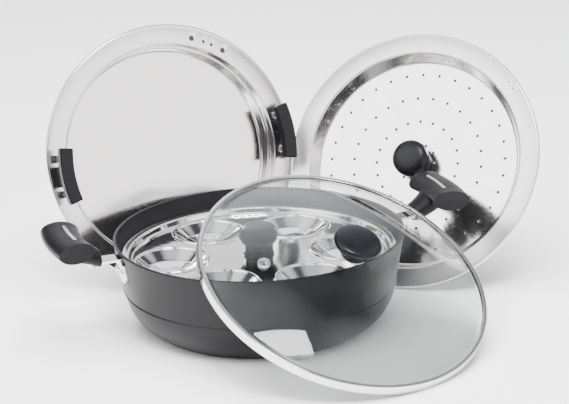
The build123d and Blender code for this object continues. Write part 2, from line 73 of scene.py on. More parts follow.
def joint_axis(name):
    """Direction of one of the packed joints."""
    found = [joint for joint in frame["joints"] if joint["name"] == name]
    return Vector(found[0]["axis"]).normalized()


X_AXIS, Y_AXIS, Z_AXIS = Vector((1, 0, 0)), Vector((0, 1, 0)), Vector((0, 0, 1))
PAN_HEIGHT = span("pan_body", Z_AXIS)
PAN_RADIUS = span("pan_body", X_AXIS) / 2
PLATE_RADIUS = span("idli_plate", X_AXIS) / 2
PLATE_TOP = reach("idli_plate", Z_AXIS)[1]


def length(name, description, default):
    """Size in metres that a user can change."""
    return bpy.props.FloatProperty(
        name=name, description=description, default=default, unit="LENGTH", precision=5
    )


def angle(name, description, degrees):
    """Angle that a user can change."""
    return bpy.props.FloatProperty(
        name=name, description=description, default=math.radians(degrees), unit="ROTATION"
    )


def share(name, description, default):
    """Share between nothing and all of it."""
    return bpy.props.FloatProperty(
        name=name, description=description, default=default, min=0, max=1, subtype="FACTOR"
    )


def amount(name, description, default):
    """Plain number that a user can change."""
    return bpy.props.FloatProperty(name=name, description=description, default=default)


def count(name, description, default):
    """Whole number that a user can change."""
    return bpy.props.IntProperty(name=name, description=description, default=default, min=3)


def colour(name, description, red, green, blue):
    """Colour that a user can change."""
    return bpy.props.FloatVectorProperty(
        name=name,
        description=description,
        default=(red, green, blue),
        min=0,
        max=1,
        subtype="COLOR",
    )


# Sizes of the pieces


class PanSizes(bpy.types.PropertyGroup):
    """Sizes of the pan's body."""

    wall: length("Wall", "Thickness of the wall", 0.003)
    step_drop: length("Step drop", "From the rim down to the step", 0.05)
    step_radius: length("Step radius", "Radius of the wall at the step", 0.1312)
    step_width: length("Step width", "How far the step stands out", 0.0005)
    ridge: length("Ridge", "How far the step's crest stands out of the wall", 0.0009)
    base_radius: length("Base radius", "Radius of the flat base", 0.104)
    base_round: length("Base round", "Rounding at the base's edge", 0.005)
    bowl_bulge: length("Bowl bulge", "Bulge of the wall under the step", 0.006)
    rim_round: length("Rim round", "Rounding of the rim", 0.0011)
    rivet_radius: length("Rivet radius", "Radius of the rivets in the wall", 0.0024)
    rivet_drop: length("Rivet drop", "From the rim down to the rivets", 0.019)
    rivet_spacing: length("Rivet spacing", "Between the two rivets of a handle", 0.014)
    turns: count("Turns", "Sides of the round body", 288)


class HandleSizes(bpy.types.PropertyGroup):
    """Sizes of the two grips beside the rim."""

    azimuth: angle("Azimuth", "Direction of the right handle from the pan's axis", 18)
    bar_radius: length("Bar radius", "From the pan's axis to the bar's middle", 0.19)
    bar_rise: length("Bar rise", "From the rim up to the bar's middle", 0.016)
    bar_length: length("Bar length", "Length of the bar along its curve", 0.072)
    bar_width: length("Bar width", "Width of the bar across its curve", 0.036)
    bar_thickness: length("Bar thickness", "Height of the bar's section", 0.0195)
    end_dish: length("End dish", "Depth of the fold in each end face", 0.0012)
    neck_reach: length("Neck reach", "From the rim out to the neck's end", 0.018)
    neck_drop: length("Neck drop", "From the rim down to the neck's middle", 0.003)
    neck_width: length("Neck width", "Width of the neck's end", 0.025)
    neck_height: length("Neck height", "Height of the neck's end", 0.017)
    root_width: length("Root width", "Width of the neck under the bar", 0.034)
    root_height: length("Root height", "Height of the neck under the bar", 0.022)
    middle: share("Middle", "Where the neck bends, along its run", 0.42)
    voxel: length("Grain of the form", "Size of the cells that blend neck and bar", 0.0009)
    blend: count("Blend", "Rounds of smoothing where the neck meets the bar", 9)


class SheetSizes(bpy.types.PropertyGroup):
    """Sizes that the plate and the trays share."""

    thickness: length("Sheet", "Thickness of the sheet steel", 0.0009)
    bend: length("Bend", "Radius at the middle of the sheet where it bends", 0.0022)
    bead_proud: length("Bead proud", "Rolled edge over the middle of the sheet", 0.0007)
    turns: count("Turns", "Sides of the round pieces", 288)
    overrun: length("Overrun", "How far a cutter passes what it cuts", 0.002)


class PlateSizes(bpy.types.PropertyGroup):
    """Sizes of the idli plate."""

    edge_radius: length("Edge radius", "Radius of the rolled edge", 0.0015)
    flange: length("Flange", "Width of the flat flange", 0.0076)
    depth: length("Depth", "From the edge down to the floor", 0.006)
    wall_run: length("Wall run", "How far the wall slopes in", 0.002)
    cups: count("Cups", "Number of cups", 6)
    ring_radius: length("Ring radius", "From the middle to each cup's middle", 0.0845)
    turn: angle("Turn", "Direction of the first cup", 5.5)
    cup_radius: length("Cup radius", "Radius of a cup at the crest of its lip", 0.035)
    cup_lip: length("Cup lip", "From the floor up to the crest", 0.0026)
    cup_lip_run: length("Lip run", "Half the width of the lip", 0.0016)
    cup_depth: length("Cup depth", "From the floor down to the cup's bottom", 0.0125)
    cup_floor: length("Cup floor", "Radius of the cup's flat bottom", 0.012)
    drain_radius: length("Drain radius", "Radius of the drain hole", 0.0015)
    drain_inset: length("Drain inset", "From the crest in to the drain hole", 0.005)
    steam_ring: length("Steam ring", "Radius of the ring of steam holes", 0.1165)
    steam_radius: length("Steam hole", "Radius of a steam hole", 0.0024)
    steam_pitch: length("Steam pitch", "Between every second steam hole", 0.0135)
    steam_holes: count("Steam holes", "Steam holes between two cups", 4)


class KnobSizes(bpy.types.PropertyGroup):
    """Sizes of the knobs on the plate, the perforated tray and the lid."""

    radius: length("Cap radius", "Radius of a steel piece's knob", 0.0185)
    height: length("Height", "Height of a steel piece's knob", 0.03)
    lid_radius: length("Lid cap radius", "Radius of the lid's knob", 0.023)
    lid_height: length("Lid height", "Height of the lid's knob", 0.021)
    turns: count("Turns", "Sides of the round knobs", 144)


class LidSizes(bpy.types.PropertyGroup):
    """Sizes of the glass lid."""

    radius: length("Radius", "Outer radius of the steel band", 0.1395)
    glass: length("Glass", "Thickness of the glass", 0.0035)
    rise: length("Rise", "From the glass edge up to the dome's top", 0.0275)
    power: amount("Dome power", "Higher is flatter in the middle", 2.6)
    band: length("Band", "Thickness of the band", 0.0008)
    inset: length("Dome inset", "From the lid's edge to the foot of the dome", 0.0075)
    flange: length("Flange", "Width of the band over the glass", 0.0038)
    ledge: length("Ledge", "Width of the band under the glass", 0.004)
    band_height: length("Band height", "Height of the band's wall", 0.0086)
    vent_across: length("Vent across", "Place of the vent along the level diameter", -0.081)
    vent_up: length("Vent up", "Place of the vent up the leaning face", 0.0285)
    vent_radius: length("Vent radius", "Radius of the vent's bore", 0.003)
    vent_wall: length("Vent wall", "Wall of the eyelet", 0.0012)
    vent_flange: length("Vent flange", "Radius of the eyelet's flange", 0.006)
    vent_lip: length("Vent lip", "Thickness of the eyelet's flange", 0.0008)
    gasket: length("Gasket", "Thickness of the washer under the knob", 0.0012)


class TraySizes(bpy.types.PropertyGroup):
    """Sizes of the two trays."""

    radius: length("Radius", "Outer radius", 0.132)
    bead: length("Bead", "Radius of the rolled edge", 0.002)
    rim: length("Rim", "Width of the flat rim", 0.0199)
    solid_depth: length("Solid depth", "Depth of the tray without steam holes", 0.0234)
    ledge_depth: length("Ledge depth", "From the rim down to its ledge", 0.01)
    ledge_run: length("Ledge run", "How far the wall slopes in above the ledge", 0.0016)
    ledge: length("Ledge", "Width of the ledge", 0.0022)
    wall_run: length("Wall run", "How far the wall slopes in below the ledge", 0.0019)
    perforated_depth: length("Perforated depth", "Depth of the tray with holes", 0.015)
    perforated_run: length("Perforated run", "How far its wall slopes in", 0.0063)
    hole_radius: length("Steam hole", "Radius of a steam hole", 0.0016)
    mark_ring: length("Mark ring", "Radius of the ring of rim holes", 0.12)
    mark_small: length("Small hole", "Radius of a small rim hole", 0.0019)
    mark_large: length("Large hole", "Radius of a large rim hole", 0.003)
    small_spacing: length("Small spacing", "Between two small rim holes", 0.009)
    large_spacing: length("Large spacing", "Between two large rim holes", 0.0356)
    pair_ring: length("Pair ring", "Radius of the ring of rim pairs", 0.1244)
    pair_spacing: length("Pair spacing", "Between the holes of a rim pair", 0.0085)


class TrayGripSizes(bpy.types.PropertyGroup):
    """Sizes of the two T-shaped grips on a tray's rim."""

    azimuth: angle("Azimuth", "Direction of the right grip on the tray", 2.8)
    ring: length("Ring", "Radius that the bar follows", 0.119)
    span: length("Length", "Length of the bar", 0.055)
    width: length("Width", "Width of the bar", 0.0135)
    thickness: length("Thickness", "Thickness of the bar", 0.009)
    height: length("Height", "From the rim up to the bar's face", 0.027)
    neck_ring: length("Neck ring", "From the tray's middle to the neck's middle", 0.12)
    neck_length: length("Neck length", "Length of the neck", 0.0205)
    neck_thickness: length("Neck thickness", "Thickness of the neck", 0.0075)
    voxel: length("Grain of the form", "Size of the cells that blend neck and bar", 0.0007)
    blend: count("Blend", "Rounds of smoothing", 5)


class Finishes(bpy.types.PropertyGroup):
    """Colours of the materials."""

    anodised: colour("Anodised", "Pan body", 0.009, 0.0087, 0.0098)
    grip: colour("Grip", "Grips of the pan", 0.006, 0.0055, 0.0065)
    knob: colour("Knob", "Knobs and tray grips", 0.006, 0.006, 0.0075)
    steel: colour("Steel", "Plate, trays and trim", 0.86, 0.845, 0.84)
    brass: colour("Brass", "Threaded inserts", 0.72, 0.52, 0.24)
    silicone: colour("Silicone", "Washer under the lid's knob", 0.55, 0.54, 0.52)
    glass: colour("Glass", "Glass of the lid", 0.95, 0.975, 0.965)


class StageSettings(bpy.types.PropertyGroup):
    """Camera, floor and lights."""

    azimuth: angle("Azimuth", "Camera's direction round the set", -0.746)
    elevation: angle("Elevation", "Camera's height angle", 18.461)
    roll: angle("Roll", "Camera's roll", -1.797)
    depth: length("Distance", "From the camera to the set's axis", 1.9957)
    height: length("Height", "Camera above the table", 0.7839)
    lens: bpy.props.FloatProperty(
        name="Lens", description="Focal length of the camera", default=139.19, unit="CAMERA"
    )
    floor: length("Floor", "Half the width of the floor", 9)
    floor_colour: colour("Floor colour", "Pale floor", 0.95, 0.95, 0.95)
    sky: amount("Sky", "Strength of the light all round", 1.0)


GROUPS = {
    "steamer_pan": PanSizes,
    "steamer_handles": HandleSizes,
    "steamer_sheet": SheetSizes,
    "steamer_plate": PlateSizes,
    "steamer_knobs": KnobSizes,
    "steamer_lid": LidSizes,
    "steamer_trays": TraySizes,
    "steamer_tray_grips": TrayGripSizes,
    "steamer_finishes": Finishes,
    "steamer_stage": StageSettings,
}

# Tables of places, as shares of the sizes that they follow
KNOB_SHARES = (
    (0.0, 0.0),
    (0.81, 0.0),
    (0.81, 0.05),
    (0.76, 0.11),
    (0.76, 0.3),
    (0.8, 0.38),
    (0.93, 0.46),
    (1.0, 0.57),
    (1.0, 0.72),
    (0.95, 0.85),
    (0.8, 0.94),
    (0.5, 0.985),
    (0.0, 1.0),
)
LID_KNOB_SHARES = (
    (0.0, 0.0),
    (0.52, 0.0),
    (0.52, 0.06),
    (0.49, 0.12),
    (0.49, 0.22),
    (0.56, 0.32),
    (0.74, 0.42),
    (0.9, 0.52),
    (0.985, 0.64),
    (0.985, 0.76),
    (0.9, 0.88),
    (0.68, 0.955),
    (0.36, 0.99),
    (0.0, 1.0),
)
# Rings of steam holes: radius in metres, holes, and the first hole's angle in degrees
STEAM_RINGS = (
    (0.0927, 33, 183.0),
    (0.068, 26, 196.0),
    (0.0433, 20, 203.0),
    (0.0195, 11, 70.9),
)
# Directions of the groups of rim holes, in degrees
MARK_ANGLES = (62.5, 2.8, 182.8)
RIM_PAIR_ANGLES = (43.25, 223.25)
DOME_STEPS = 44
NECK_FLARE = 0.12  # share by which a tray grip's neck widens into its bar

# Painted shade in the floor's colour behind each tray, as shares of the tray's radius
PAINTED_SHADE_COLOUR = (0.03, 0.03, 0.032)
SHADE_FULL = 0.95
SHADE_END = 0.985

# Grey cards in the soft light: direction from the front, height angle, inner and outer
# radius in degrees, and colour. Lights: name, direction, height angle, distance, width,
# height, energy, and whether the steel and the glass show them
SENSOR_WIDTH = 36  # millimetres
FAR_LIMIT = 100  # metres that the camera sees
STUDIO_DARK = (0.1, 0.1, 0.105)
STUDIO_CARDS = (
    (-60, 42, 6, 34, (5.0, 5.0, 5.0)),
    (48, 15, 8, 30, (2.9, 2.82, 2.8)),
    (180, 44, 16, 32, (2.1, 2.15, 2.25)),
    (108, 36, 8, 22, (1.5, 1.55, 1.65)),
    (62, 46, 12, 26, (1.7, 1.7, 1.75)),
    (-95, 64, 12, 24, (1.5, 1.5, 1.5)),
    (0, 76, 12, 26, (0.9, 0.93, 1.0)),
)
STUDIO_LIGHTS = (
    ("window", 13, 63, 2.0, 0.72, 0.42, 34, True),
    ("overhead", -20, 82, 2.2, 2.4, 2.4, 190, False),
)


# Outlines, as points of (radius, height)


def rounded(points, radii, steps=ROUND_STEPS):
    """Open outline with its inner corners rounded to these radii."""
    made = [points[0]]
    for index, radius in enumerate(radii, 1):
        corner = Vector(points[index])
        before = (Vector(points[index - 1]) - corner).normalized()
        after = (Vector(points[index + 1]) - corner).normalized()
        half = math.acos(max(-1.0, min(1.0, before.dot(after)))) / 2
        if radius == 0 or abs(half - math.pi / 2) < 1e-4:
            made.append(tuple(corner))
            continue
        middle = corner + (before + after).normalized() * radius / math.sin(half)
        start = corner + before * radius / math.tan(half) - middle
        end = corner + after * radius / math.tan(half) - middle
        turn = math.atan2(start.cross(end), start.dot(end))
        for step in range(steps + 1):
            bent = turn * step / steps
            x = start.x * math.cos(bent) - start.y * math.sin(bent)
            y = start.x * math.sin(bent) + start.y * math.cos(bent)
            made.append((middle.x + x, middle.y + y))
    made.append(points[-1])
    return made


def arc(centre, radius, start, end, steps):
    """Points of an arc, from one angle to another, in radians."""
    return [
        (
            centre[0] + radius * math.cos(start + (end - start) * step / steps),
            centre[1] + radius * math.sin(start + (end - start) * step / steps),
        )
        for step in range(steps + 1)
    ]


def beside(line, distance):
    """Line at a distance to the left of another."""
    made = []
    for index, point in enumerate(line):
        before = Vector(line[max(index - 1, 0)])
        after = Vector(line[min(index + 1, len(line) - 1)])
        along = (after - before).normalized()
        made.append((max(point[0] - along.y * distance, 0.0), point[1] + along.x * distance))
    return made


def sheet_outline(points, radii, thickness, proud, bead):
    """Closed section of a round sheet-metal piece that ends in a rolled edge."""
    line = rounded(points, radii)
    end, middle = points[-1]
    centre = (end, middle + proud - bead)
    top = beside(line, thickness / 2)[:-1]
    low = beside(line, -thickness / 2)[:-1]
    over = math.asin((middle + thickness / 2 - centre[1]) / bead)
    under = math.asin((middle - thickness / 2 - centre[1]) / bead)
    edge = arc(centre, bead, math.pi - over, under - math.pi, 4 * ROUND_STEPS)
    return top + edge + low[::-1]


# Meshes


def add_object(name, verts, faces, place):
    """New object from its corners and faces, in its own frame."""
    mesh = bpy.data.meshes.new(name)
    mesh.from_pydata([tuple(v) for v in verts], [], faces)
    mesh.validate()
    made = bpy.data.objects.new(name, mesh)
    bpy.context.scene.collection.objects.link(made)
    made.matrix_world = place
    return made


def smooth(piece, limit=SMOOTH_ANGLE):
    """Smooth shading that keeps real edges crisp."""
    piece.data.shade_smooth()
    piece.data.set_sharp_from_angle(angle=limit)
    return piece


def spun(name, outline, place, turns):
    """Round piece: an outline turned round the local Z axis."""
    pairs = zip(outline, outline[1:] + outline[:1])
    area = sum(a[0] * b[1] - b[0] * a[1] for a, b in pairs)
    points = outline if area > 0 else outline[::-1]
    closed = points[0][0] > 1e-9 or points[-1][0] > 1e-9
    verts, rings = [], []
    for radius, height in points:
        first = len(verts)
        if radius < 1e-9:
            verts.append((0, 0, height))
            rings.append([first] * turns)
            continue
        for step in range(turns):
            bearing = TURN * step / turns
            verts.append((radius * math.cos(bearing), radius * math.sin(bearing), height))
        rings.append(list(range(first, first + turns)))
    faces = []
    pairs = list(zip(rings, rings[1:]))
    if closed:
        pairs.append((rings[-1], rings[0]))
    for low, high in pairs:
        for step in range(turns):
            near, far = step, (step + 1) % turns
            corners = [low[near], low[far], high[far], high[near]]
            face = list(dict.fromkeys(corners))
            if len(face) > 2:
                faces.append(face)
    return smooth(add_object(name, verts, faces, place))


def pins(name, seats, place):
    """Joined cylinders for cutting holes: each seat is a matrix, a radius, a low and a high end."""
    verts, faces = [], []
    for seat, radius, low, high in seats:
        first = len(verts)
        for level in (low, high):
            for step in range(HOLE_SIDES):
                bearing = TURN * step / HOLE_SIDES
                point = (radius * math.cos(bearing), radius * math.sin(bearing), level)
                verts.append(seat @ Vector(point))
        for step in range(HOLE_SIDES):
            far = (step + 1) % HOLE_SIDES
            faces.append(
                (first + step, first + far, first + HOLE_SIDES + far, first + HOLE_SIDES + step)
            )
        faces.append(tuple(range(first + HOLE_SIDES - 1, first - 1, -1)))
        faces.append(tuple(range(first + HOLE_SIDES, first + 2 * HOLE_SIDES)))
    return add_object(name, verts, faces, place)


def apply_modifiers(piece):
    """Keep the mesh that the piece's modifiers make."""
    bpy.context.view_layer.update()
    graph = bpy.context.evaluated_depsgraph_get()
    mesh = bpy.data.meshes.new_from_object(piece.evaluated_get(graph))
    old = piece.data
    piece.modifiers.clear()
    piece.data = mesh
    mesh.name = piece.name
    bpy.data.meshes.remove(old)
    return piece


def combine(piece, cutter, operation="DIFFERENCE"):
    """Cut one mesh with another, or fuse the two, and delete the second."""
    tool = piece.modifiers.new("combine", "BOOLEAN")
    tool.operation = operation
    tool.solver = "EXACT"
    tool.object = cutter
    apply_modifiers(piece)
    bpy.data.objects.remove(cutter)
    if not piece.data.polygons:
        raise RuntimeError("nothing is left of " + piece.name)
    return smooth(piece)


def join(name, pieces):
    """One object from several in the same frame."""
    verts, faces = [], []
    for piece in pieces:
        first = len(verts)
        verts += [vertex.co.copy() for vertex in piece.data.vertices]
        faces += [[first + index for index in face.vertices] for face in piece.data.polygons]
    made = add_object(name, verts, faces, pieces[0].matrix_world.copy())
    for piece in pieces:
        bpy.data.objects.remove(piece)
    return made


def lofted(name, rings, place):
    """Closed form through rings of as many points each."""
    sides = len(rings[0])
    verts = [point for ring in rings for point in ring]
    faces = [list(range(sides))[::-1], list(range(len(verts) - sides, len(verts)))]
    for low in range(0, len(verts) - sides, sides):
        for step in range(sides):
            far = (step + 1) % sides
            faces.append([low + step, low + far, low + sides + far, low + sides + step])
    return add_object(name, verts, faces, place)


def moulded(name, forms, voxel, rounds):
    """Plastic moulding: forms blended into one with soft inner corners."""
    piece = join(name, forms)
    remesh = piece.modifiers.new("blend", "REMESH")
    remesh.mode = "VOXEL"
    remesh.voxel_size = voxel
    soften = piece.modifiers.new("soften", "SMOOTH")
    soften.factor = 0.5
    soften.iterations = rounds
    return apply_modifiers(piece)


# Places


def stand(node, across, up, out, level):
    """Place of a round piece, from its level diameter, its way up its face and its facing."""
    centre = across * sum(reach(node, across)) / 2 + up * sum(reach(node, up)) / 2 + out * level
    turned = Matrix((across, up, out)).transposed().to_4x4()
    return Matrix.Translation(centre) @ turned


def tray_place(node, joint, crest):
    """Place of a tray whose rim's face is local zero, from the way that it lifts."""
    up = joint_axis(joint)
    level = Vector((up.x, up.y, 0)).normalized()
    across = Vector((level.y, -level.x, 0))
    if across.x < 0:
        across = -across
    out = across.cross(up).normalized()
    return stand(node, across, up, out, reach(node, out)[1] - crest)


def lid_place(low):
    """Place of the lid whose glass edge's underside is local zero."""
    out = joint_axis("lid_lift")
    level = Vector((out.x, out.y, 0)).normalized()
    across = Vector((-level.y, level.x, 0))
    return stand("lid_band", across, out.cross(across), out, reach("lid_band", out)[0] - low)


# Materials


def shader(name, base, metallic, roughness):
    """Material with a principled shader and its colour, metal and roughness set."""
    material = bpy.data.materials.new(name)
    material.use_nodes = True
    nodes = material.node_tree.nodes
    face = nodes["Principled BSDF"]
    face.inputs["Base Color"].default_value = (*base, 1)
    face.inputs["Metallic"].default_value = metallic
    face.inputs["Roughness"].default_value = roughness
    return material, nodes, material.node_tree.links, face


def place_node(nodes):
    """Coordinates in the piece's own frame."""
    return nodes.new("ShaderNodeTexCoord").outputs["Object"]


def noise(nodes, links, scale, detail=2.0, roughness=0.5, vector=None):
    """Soft irregular pattern of a scale in features per metre."""
    made = nodes.new("ShaderNodeTexNoise")
    made.inputs["Scale"].default_value = scale
    made.inputs["Detail"].default_value = detail
    made.inputs["Roughness"].default_value = roughness
    links.new(vector or place_node(nodes), made.inputs["Vector"])
    return made.outputs["Fac"]


def ring_lines(nodes, links, scale, detail=3.0):
    """Fine rings round the local Z axis, as spinning and polishing leave."""
    flat = nodes.new("ShaderNodeVectorMath")
    flat.operation = "MULTIPLY"
    flat.inputs[1].default_value = (1, 1, 0)
    links.new(place_node(nodes), flat.inputs[0])
    far = nodes.new("ShaderNodeVectorMath")
    far.operation = "LENGTH"
    links.new(flat.outputs["Vector"], far.inputs[0])
    lines = nodes.new("ShaderNodeTexNoise")
    lines.noise_dimensions = "1D"
    lines.inputs["Scale"].default_value = scale
    lines.inputs["Detail"].default_value = detail
    links.new(far.outputs["Value"], lines.inputs["W"])
    return lines.outputs["Fac"], far.outputs["Value"]


def spread(nodes, links, value, low, high, start=0.3, end=0.7):
    """Map a pattern onto a range."""
    made = nodes.new("ShaderNodeMapRange")
    made.inputs["From Min"].default_value = start
    made.inputs["From Max"].default_value = end
    made.inputs["To Min"].default_value = low
    made.inputs["To Max"].default_value = high
    links.new(value, made.inputs["Value"])
    return made.outputs["Result"]


def relief(nodes, links, face, layers):
    """Stack bump layers of (pattern, depth in metres, strength)."""
    normal = None
    for pattern, depth, strength in layers:
        bump = nodes.new("ShaderNodeBump")
        bump.inputs["Strength"].default_value = strength
        bump.inputs["Distance"].default_value = depth
        links.new(pattern, bump.inputs["Height"])
        if normal:
            links.new(normal, bump.inputs["Normal"])
        normal = bump.outputs["Normal"]
    links.new(normal, face.inputs["Normal"])


def tint(nodes, links, face, base, pattern, change):
    """Let the base colour vary a little with a pattern."""
    made = nodes.new("ShaderNodeMix")
    made.data_type = "RGBA"
    made.inputs["A"].default_value = (*[part * (1 - change) for part in base], 1)
    made.inputs["B"].default_value = (*[min(part * (1 + change), 1) for part in base], 1)
    links.new(pattern, made.inputs["Factor"])
    links.new(made.outputs["Result"], face.inputs["Base Color"])


def anodised_finish(base):
    """Hard-anodised aluminium: dark, satin, with a fine spun grain."""
    material, nodes, links, face = shader("anodised_aluminium", base, 0.0, 0.36)
    face.inputs["Specular IOR Level"].default_value = 0.2
    fine = noise(nodes, links, 2600, 3)
    broad = noise(nodes, links, 26, 3)
    lines, _ = ring_lines(nodes, links, 1400)
    tint(nodes, links, face, base, spread(nodes, links, broad, 0, 1), 0.07)
    links.new(spread(nodes, links, broad, 0.33, 0.42), face.inputs["Roughness"])
    relief(nodes, links, face, ((lines, 0.00001, 0.1), (fine, 0.00001, 0.03)))
    return material


def plastic_finish(name, base, roughness, grain):
    """Moulded plastic with the grain of its mould."""
    material, nodes, links, face = shader(name, base, 0, roughness)
    face.inputs["Specular IOR Level"].default_value = 0.2
    fine = noise(nodes, links, 2200, 2)
    broad = noise(nodes, links, 90, 3)
    tint(nodes, links, face, base, spread(nodes, links, broad, 0, 1), 0.12)
    links.new(
        spread(nodes, links, broad, roughness * 0.85, roughness * 1.2), face.inputs["Roughness"]
    )
    relief(nodes, links, face, ((broad, 0.0002, 0.05), (fine, 0.00006, grain)))
    return material


def steel_finish(name, base, roughness, waviness, lines_depth, rim=None):
    """Stainless steel, polished on a wheel: faint rings and a slight waviness of the sheet.

    A rim is (radius, roughness) from which the sheet is left satin."""
    material, nodes, links, face = shader(name, base, 1, roughness)
    wave = noise(nodes, links, 16, 1)
    scuff = noise(nodes, links, 420, 4, 0.65)
    lines, far = ring_lines(nodes, links, 2600)
    tint(nodes, links, face, base, spread(nodes, links, scuff, 0, 1), 0.025)
    rough = spread(nodes, links, scuff, roughness * 0.75, roughness * 1.3)
    if rim:
        satin = nodes.new("ShaderNodeMix")
        links.new(spread(nodes, links, far, 0, 1, rim[0] - 0.001, rim[0]), satin.inputs["Factor"])
        links.new(rough, satin.inputs["A"])
        links.new(spread(nodes, links, scuff, rim[1] * 0.8, rim[1] * 1.25), satin.inputs["B"])
        rough = satin.outputs["Result"]
    links.new(rough, face.inputs["Roughness"])
    relief(nodes, links, face, ((wave, waviness, 1.0), (lines, lines_depth, 0.5)))
    return material


def glass_finish(base):
    """Clear tempered glass."""
    material, nodes, links, face = shader("clear_glass", base, 0, 0.0)
    face.inputs["Transmission Weight"].default_value = 1.0
    face.inputs["IOR"].default_value = 1.46
    wave = noise(nodes, links, 22, 1)
    haze = noise(nodes, links, 300, 3)
    links.new(spread(nodes, links, haze, 0.0, 0.02), face.inputs["Roughness"])
    relief(nodes, links, face, ((wave, 0.0003, 0.35),))
    return material


def silicone_finish(base):
    """Soft rubber, matt."""
    material, nodes, links, face = shader("silicone_rubber", base, 0, 0.6)
    relief(nodes, links, face, ((noise(nodes, links, 900, 2), 0.00005, 0.4),))
    return material


def make_finishes(scene):
    """All the materials by the name of the record's slot."""
    colours = scene.steamer_finishes
    steel = tuple(colours.steel)
    rim = scene.steamer_trays.radius - scene.steamer_trays.rim
    return {
        "hard_anodised": anodised_finish(tuple(colours.anodised)),
        "grip_plastic": plastic_finish("grip_plastic", tuple(colours.grip), 0.42, 0.4),
        "knob_plastic": plastic_finish("knob_plastic", tuple(colours.knob), 0.3, 0.1),
        "lid_knob_plastic": plastic_finish("lid_knob_plastic", tuple(colours.knob), 0.22, 0.03),
        "mirror_steel": steel_finish("mirror_steel", steel, 0.07, 0.0005, 0.00002),
        "solid_tray_steel": steel_finish(
            "solid_tray_steel", steel, 0.1, 0.001, 0.00002, (rim, 0.16)
        ),
        "perforated_tray_steel": steel_finish(
            "perforated_tray_steel", steel, 0.13, 0.0014, 0.00002, (rim, 0.34)
        ),
        "band_steel": steel_finish("band_steel", steel, 0.16, 0.0002, 0.00004),
        "chrome_trim": steel_finish("chrome_trim", steel, 0.09, 0.0001, 0.00001),
        "polished_bracket": steel_finish("polished_bracket", steel, 0.12, 0.0003, 0.00001),
        "fastener_steel": steel_finish("fastener_steel", steel, 0.2, 0.0001, 0.00001),
        "brass_insert": steel_finish("brass_insert", tuple(colours.brass), 0.3, 0.0001, 0.00002),
        "clear_glass": glass_finish(tuple(colours.glass)),
        "silicone": silicone_finish(tuple(colours.silicone)),
    }


FINISH = {}


def heading(azimuth, elevation):
    """Direction at these angles, in degrees, from the front and above the table."""
    turn, rise = math.radians(azimuth), math.radians(elevation)
    level = math.cos(rise)
    return Vector((math.sin(turn) * level, -math.cos(turn) * level, math.sin(rise)))


def finished(piece, body, slot, nodes=(), finish=None):
    """Give a new piece the material of its slot, put it in its body and hide the packed nodes that it
    stands for.
    """
    piece.data.materials.clear()
    piece.data.materials.append(FINISH[finish or slot])
    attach(piece, body)
    if nodes:
        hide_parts(*nodes)
    return piece


def on_ring(radius, bearing):
    """Place on a ring at an angle, turned to face along it."""
    return Matrix.Rotation(bearing, 4, "Z") @ Matrix.Translation((radius, 0, 0))


# Operators, one for each piece or group of like pieces


class STEAMER_OT_finishes(bpy.types.Operator):
    """Make the materials"""

    bl_idname = "steamer.finishes"
    bl_label = "Materials"

    def execute(self, context):
        FINISH.update(make_finishes(context.scene))
        return {"FINISHED"}


def pan_outline(sizes, inset):
    """Half of the pan's section from the rim to the axis, outside or inside."""
    step = PAN_HEIGHT - sizes.step_drop
    top = (PAN_RADIUS - inset, PAN_HEIGHT)
    ledge = (sizes.step_radius - inset, step + 1.5 * sizes.ridge)
    crest = (sizes.step_radius + sizes.ridge - inset, step)
    under = (sizes.step_radius - sizes.step_width - inset, step - sizes.step_width)
    base = (sizes.base_radius - inset / 2, inset)
    chord = Vector(under) - Vector(base)
    out = Vector((chord.y, -chord.x)).normalized()
    bulge = sizes.bowl_bulge
    bowl = []
    for index in range(2 * DOME_STEPS + 1):
        along = index / (2 * DOME_STEPS)
        point = Vector(under) - chord * along + out * bulge * 4 * along * (1 - along)
        bowl.append(tuple(point))
    return [top, ledge, crest] + bowl + [(0.0, inset)]


class STEAMER_OT_pan(bpy.types.Operator):
    """Build the pan's body"""

    bl_idname = "steamer.pan"
    bl_label = "Pan"

    def execute(self, context):
        sizes = context.scene.steamer_pan
        handles = context.scene.steamer_handles
        outer = pan_outline(sizes, 0)
        inner = pan_outline(sizes, sizes.wall)
        rim = rounded([outer[1], outer[0], inner[0], inner[1]], [sizes.rim_round] * 2, 10)
        lip = rounded(outer[:4], [sizes.ridge / 2, sizes.ridge / 3])
        foot = rounded([outer[-3], outer[-2], outer[-1]], [sizes.base_round / 3], 12)
        outline = rim[1:-1] + inner[1:] + outer[-1:] + foot[1:-1][::-1] + outer[4:-2][::-1]
        outline += lip[1:][::-1]
        pan = spun("pan_shell", outline[:-1], WORLD, sizes.turns)
        taper = (PAN_RADIUS - sizes.step_radius) / sizes.step_drop
        radius = PAN_RADIUS - taper * sizes.rivet_drop
        half_turn = sizes.rivet_spacing / radius / 2
        lean = Matrix.Rotation(math.pi / 2 + math.atan(taper), 4, "Y")
        seats = []
        for azimuth in (handles.azimuth, handles.azimuth + math.pi):
            for side in (half_turn, -half_turn):
                seat = on_ring(radius, azimuth + side)
                seat = seat @ Matrix.Translation((0, 0, PAN_HEIGHT - sizes.rivet_drop)) @ lean
                seats.append((seat, sizes.rivet_radius, -2 * sizes.wall, 2 * sizes.wall))
        combine(pan, pins("rivet_holes", seats, WORLD))
        finished(pan, "pan", "hard_anodised", ["pan_body"])
        return {"FINISHED"}


def ellipse_ring(centre, side, rise, half_width, half_height, sides=64):
    """Points of an ellipse about a centre."""
    return [
        centre
        + side * half_width * math.cos(TURN * step / sides)
        + rise * half_height * math.sin(TURN * step / sides)
        for step in range(sides)
    ]


